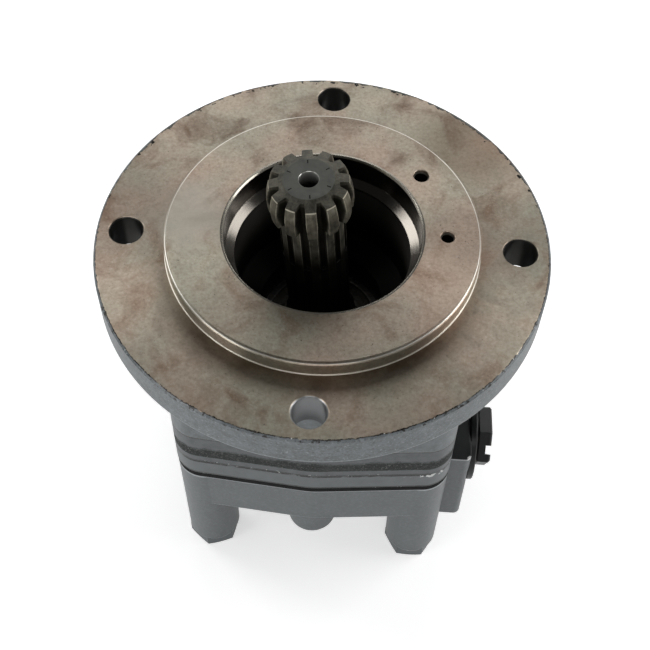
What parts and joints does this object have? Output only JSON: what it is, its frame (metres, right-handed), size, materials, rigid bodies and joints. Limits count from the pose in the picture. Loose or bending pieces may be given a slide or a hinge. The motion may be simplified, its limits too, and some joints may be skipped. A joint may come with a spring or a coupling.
{
  "type": "hydraulic motor",
  "caption": "Bearingless orbital hydraulic motor: round pilot flange, crowned splined link shaft in an open bore, roller gear set, disc valve, side ports with plugs.",
  "frame": {"origin": "centre of the flange's mounting face, on the motor's axis", "axes": "+Z out of the motor along the output spline, +X towards the two line ports, flange holes on X and Y"},
  "size_m": [0.15, 0.15, 0.1692],
  "materials": {
    "cast_flange": "machined face, painted rim",
    "painted_ring": "satin paint over ground steel",
    "painted_plate": "satin paint",
    "painted_casting": "satin paint over casting",
    "hard_steel": "ground",
    "link_steel": "dark case-hardened",
    "roller_steel": "polished",
    "ball_steel": "polished",
    "spring_steel": "drawn",
    "bolt_steel": "blackened",
    "bonded_washer": "zinc plated",
    "black_rubber": "matt",
    "black_plastic": "moulded"
  },
  "bodies": {
    "housing": {"mounting_flange": "cast_flange", "wear_plate": "hard_steel", "stator_ring": "painted_ring", "channel_plate": "painted_plate", "front_seal": "black_rubber", "channel_seal": "black_rubber", "body_gasket": "black_rubber", "rear_housing": "painted_casting", "body_bolts": "bolt_steel", "port_plug_a": "black_plastic", "port_plug_b": "black_plastic", "drain_plug": "bolt_steel", "drain_washer": "bonded_washer", "check_plugs": "bolt_steel", "check_spring_a": "spring_steel", "check_spring_b": "spring_steel", "balance_spring": "spring_steel", "balance_pins": "hard_steel"},
    "orbit": {"thrust_button": "hard_steel"},
    "rotor": {"rotor": "hard_steel"},
    "cardan": {"cardan_shaft": "link_steel"},
    "valve_drive": {"valve_drive": "link_steel"},
    "disc_valve": {"disc_valve": "hard_steel"},
    "balance": {"balance_plate": "hard_steel", "balance_seal": "black_rubber"},
    "ball_a": {"check_ball_a": "ball_steel"},
    "ball_b": {"check_ball_b": "ball_steel"},
    "roller_1": {"roller_1": "roller_steel"},
    "roller_2": {"roller_2": "roller_steel"},
    "roller_3": {"roller_3": "roller_steel"},
    "roller_4": {"roller_4": "roller_steel"},
    "roller_5": {"roller_5": "roller_steel"},
    "roller_6": {"roller_6": "roller_steel"},
    "roller_7": {"roller_7": "roller_steel"}
  },
  "joints": [
    {"name": "rotor_orbit", "type": "hinge", "parent": "housing", "child": "orbit", "pos_m": [0, 0, -0.059], "axis": [0, 0, 1], "continuous": true},
    {"name": "rotor_spin", "type": "hinge", "parent": "orbit", "child": "rotor", "pos_m": [0, 0.003, -0.05725], "axis": [0, 0, 1], "continuous": true},
    {"name": "cardan_spin", "type": "hinge", "parent": "orbit", "child": "cardan", "pos_m": [0, 0.003, -0.0508], "axis": [-0.0577, -0.0368, 0.9977], "continuous": true},
    {"name": "valve_drive_spin", "type": "hinge", "parent": "orbit", "child": "valve_drive", "pos_m": [0, 0.003, -0.0644], "axis": [0, 0.1171, 0.9931], "continuous": true},
    {"name": "disc_valve_spin", "type": "hinge", "parent": "housing", "child": "disc_valve", "pos_m": [0, 0, -0.084], "axis": [0, 0, 1], "continuous": true},
    {"name": "roller_1_spin", "type": "hinge", "parent": "housing", "child": "roller_1", "pos_m": [0, 0.0335, -0.05725], "axis": [0, 0, 1], "continuous": true},
    {"name": "roller_2_spin", "type": "hinge", "parent": "housing", "child": "roller_2", "pos_m": [-0.02619, 0.02089, -0.05725], "axis": [0, 0, 1], "continuous": true},
    {"name": "roller_3_spin", "type": "hinge", "parent": "housing", "child": "roller_3", "pos_m": [-0.03266, -0.00745, -0.05725], "axis": [0, 0, 1], "continuous": true},
    {"name": "roller_4_spin", "type": "hinge", "parent": "housing", "child": "roller_4", "pos_m": [-0.01453, -0.03018, -0.05725], "axis": [0, 0, 1], "continuous": true},
    {"name": "roller_5_spin", "type": "hinge", "parent": "housing", "child": "roller_5", "pos_m": [0.01453, -0.03018, -0.05725], "axis": [0, 0, 1], "continuous": true},
    {"name": "roller_6_spin", "type": "hinge", "parent": "housing", "child": "roller_6", "pos_m": [0.03266, -0.00745, -0.05725], "axis": [0, 0, 1], "continuous": true},
    {"name": "roller_7_spin", "type": "hinge", "parent": "housing", "child": "roller_7", "pos_m": [0.02619, 0.02089, -0.05725], "axis": [0, 0, 1], "continuous": true},
    {"name": "balance_float", "type": "slide", "parent": "housing", "child": "balance", "axis": [0, 0, 1], "range_m": [-0.0003, 0], "stiffness_N_per_m": 8000, "springref_m": 0.004, "deforming": ["balance_spring"]},
    {"name": "check_ball_a_lift", "type": "slide", "parent": "housing", "child": "ball_a", "axis": [0, 0, 1], "range_m": [-0.002, 0], "stiffness_N_per_m": 300, "springref_m": 0.004, "deforming": ["check_spring_a"]},
    {"name": "check_ball_b_lift", "type": "slide", "parent": "housing", "child": "ball_b", "axis": [0, 0, 1], "range_m": [-0.002, 0], "stiffness_N_per_m": 300, "springref_m": 0.004, "deforming": ["check_spring_b"]}
  ],
  "couplings": [
    {"joint": "rotor_orbit", "follows": "rotor_spin", "ratio": -0.85714},
    {"joint": "cardan_spin", "follows": "rotor_spin", "ratio": 1},
    {"joint": "valve_drive_spin", "follows": "rotor_spin", "ratio": 1},
    {"joint": "disc_valve_spin", "follows": "rotor_spin", "ratio": 0.14286}
  ]
}
